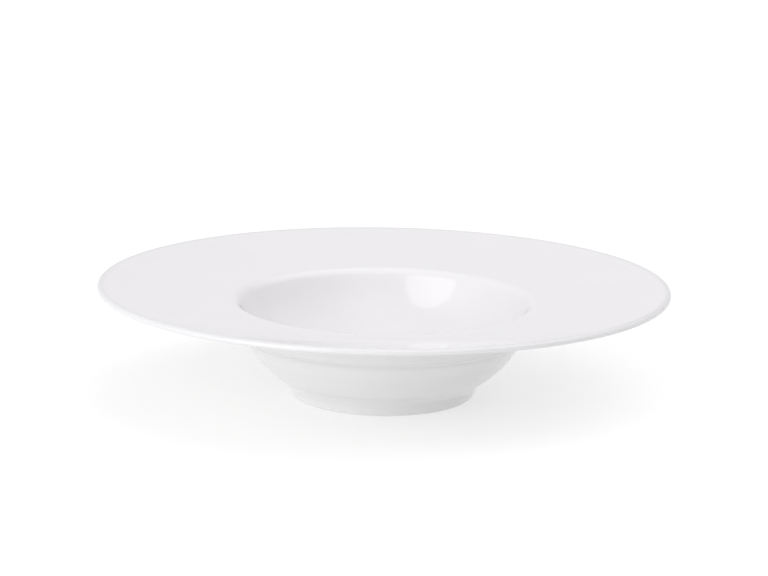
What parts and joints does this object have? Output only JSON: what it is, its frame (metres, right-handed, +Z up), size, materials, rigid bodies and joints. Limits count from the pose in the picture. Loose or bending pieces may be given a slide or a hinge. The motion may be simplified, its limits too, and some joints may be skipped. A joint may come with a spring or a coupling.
{
  "type": "pasta bowl",
  "caption": "White glazed porcelain pasta bowl: broad flat rim with a rounded edge round a small deep well, stacking step under the rim, tall foot ring",
  "frame": {"origin": "middle of the foot ring's bearing face, on the table", "axes": "+Z up along the bowl's axis of turning; X and Y are alike"},
  "size_m": [0.3, 0.3, 0.0607],
  "materials": {
    "porcelain": "matte",
    "glaze": "gloss"
  },
  "bodies": {
    "root": {"rim": "porcelain", "well_wall": "porcelain", "well_floor": "porcelain", "foot_ring": "porcelain", "glaze_coat": "glaze", "base_glaze": "glaze"}
  },
  "joints": []
}
